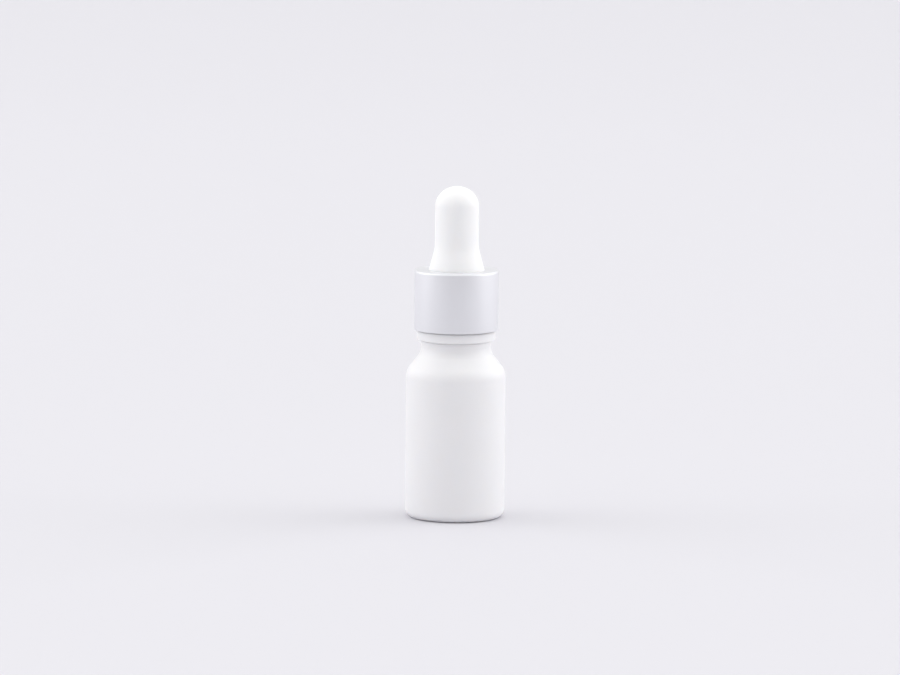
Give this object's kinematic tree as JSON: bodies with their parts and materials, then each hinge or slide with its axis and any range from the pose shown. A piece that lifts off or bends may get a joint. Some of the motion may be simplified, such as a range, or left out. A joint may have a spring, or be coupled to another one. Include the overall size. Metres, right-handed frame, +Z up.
{
  "type": "dropper bottle",
  "caption": "Small white-coated glass dropper bottle: threaded neck with bead, wiper plug, screw cap with smooth shell, squeeze bulb and tapered glass pipette.",
  "frame": {"origin": "middle of the base, in the plane that the bottle stands on", "axes": "+Z up along the bottle's axis, through the cap, the pipette and the bulb; +X and +Y are equal directions across it"},
  "size_m": [0.025, 0.025, 0.0835],
  "materials": {
    "coated_glass": "glass under an opaque matt white coating, very fine orange-peel",
    "soft_plastic": "soft milky polyethylene",
    "clear_glass": "clear drawn glass tube",
    "cap_plastic": "moulded white polypropylene",
    "shell_metal": "drawn aluminium shell with a smooth satin white finish",
    "silicone": "soft matt white silicone"
  },
  "bodies": {
    "bottle": {"bottle": "coated_glass", "wiper": "soft_plastic"},
    "dropper": {"pipette": "clear_glass"},
    "cap": {"inner_cap": "cap_plastic", "cap_shell": "shell_metal"},
    "bulb": {"bulb": "silicone"}
  },
  "joints": [
    {"name": "cap_lift", "type": "slide", "parent": "bottle", "child": "dropper", "axis": [0, 0, 1], "range_m": [0, 0.054]},
    {"name": "cap_turn", "type": "hinge", "parent": "dropper", "child": "cap", "pos_m": [0, 0, 0.0547], "axis": [0, 0, 1], "range_deg": [0, 6480]},
    {"name": "bulb_squeeze", "type": "slide", "parent": "dropper", "child": "bulb", "axis": [0, 0, -1], "range_m": [0, 0.005], "stiffness_N_per_m": 600, "deforming": ["bulb"]}
  ],
  "couplings": [
    {"joint": "cap_lift", "follows": "cap_turn", "m_per_rad": 0.00047746}
  ]
}
